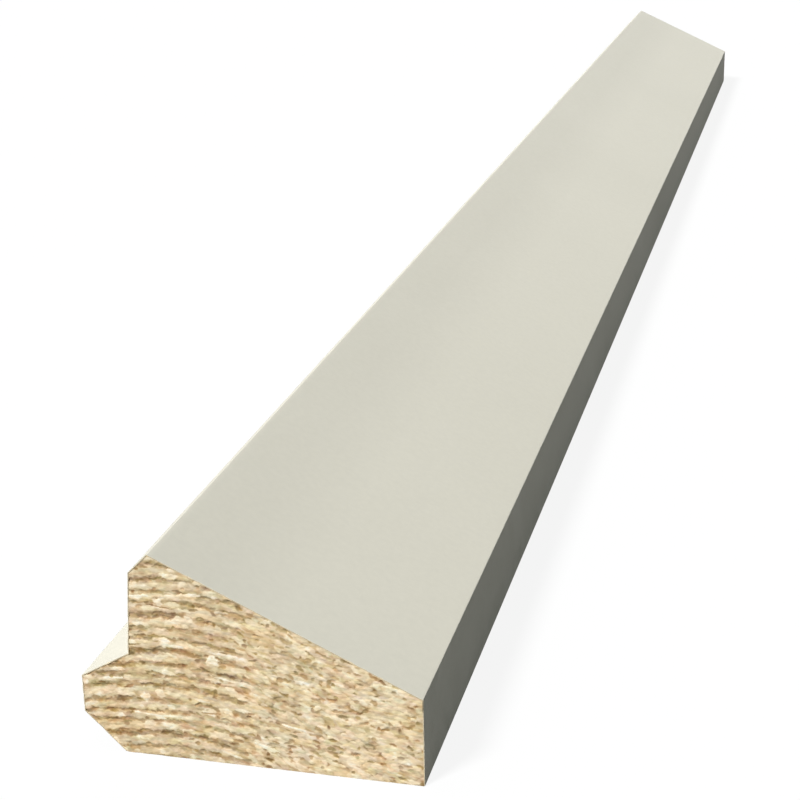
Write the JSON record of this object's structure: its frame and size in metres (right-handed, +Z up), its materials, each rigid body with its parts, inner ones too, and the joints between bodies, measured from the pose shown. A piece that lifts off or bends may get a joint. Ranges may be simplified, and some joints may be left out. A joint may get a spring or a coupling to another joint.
{
  "type": "shadow line moulding",
  "caption": "Straight trim moulding with a long sloped face, a stepped shadow rebate and a chamfered tongue, foil over particleboard.",
  "frame": {"origin": "middle of the underside", "axes": "+X across the section from the tongue to the front edge, +Y along the length, +Z up from the flat underside"},
  "size_m": [0.05, 0.6, 0.0316],
  "materials": {
    "board": "raw particleboard, sawn at the ends and sanded underneath",
    "foil": "smooth satin decor foil, pale stone grey"
  },
  "bodies": {
    "root": {"particleboard_core": "board", "foil_wrap": "foil"}
  },
  "joints": []
}
